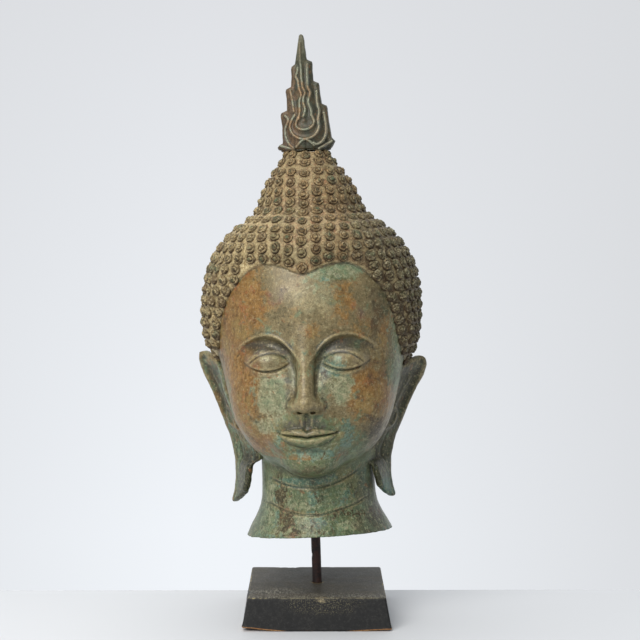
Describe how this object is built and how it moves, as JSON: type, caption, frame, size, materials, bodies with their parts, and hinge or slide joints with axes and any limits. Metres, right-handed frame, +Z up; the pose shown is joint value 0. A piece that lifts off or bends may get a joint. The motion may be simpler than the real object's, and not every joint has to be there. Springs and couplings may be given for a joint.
{
  "type": "bronze buddha head on stand",
  "caption": "Bronze Buddha head with rows of snail curls, a crown knot and a flame finial, long free ear lobes and a flared open neck, held by a leaning iron rod in a sloped black wooden block.",
  "frame": {"origin": "centre of the block's flat underside, on the surface that the object stands on", "axes": "+Z up, -Y the way the block's front and roughly the face look, +X to the right of someone facing the head"},
  "size_m": [0.245, 0.2445, 0.6106],
  "materials": {
    "bronze": "green and brown patina, waxed on the high places",
    "dark_bronze": "dark brown patina with pale green ridges",
    "iron": "dark, dull",
    "black_wood": "black paint, worn at the edges"
  },
  "bodies": {
    "root": {"buddha_head": "bronze", "flame_finial": "dark_bronze", "support_rod": "iron", "base_block": "black_wood"}
  },
  "joints": []
}
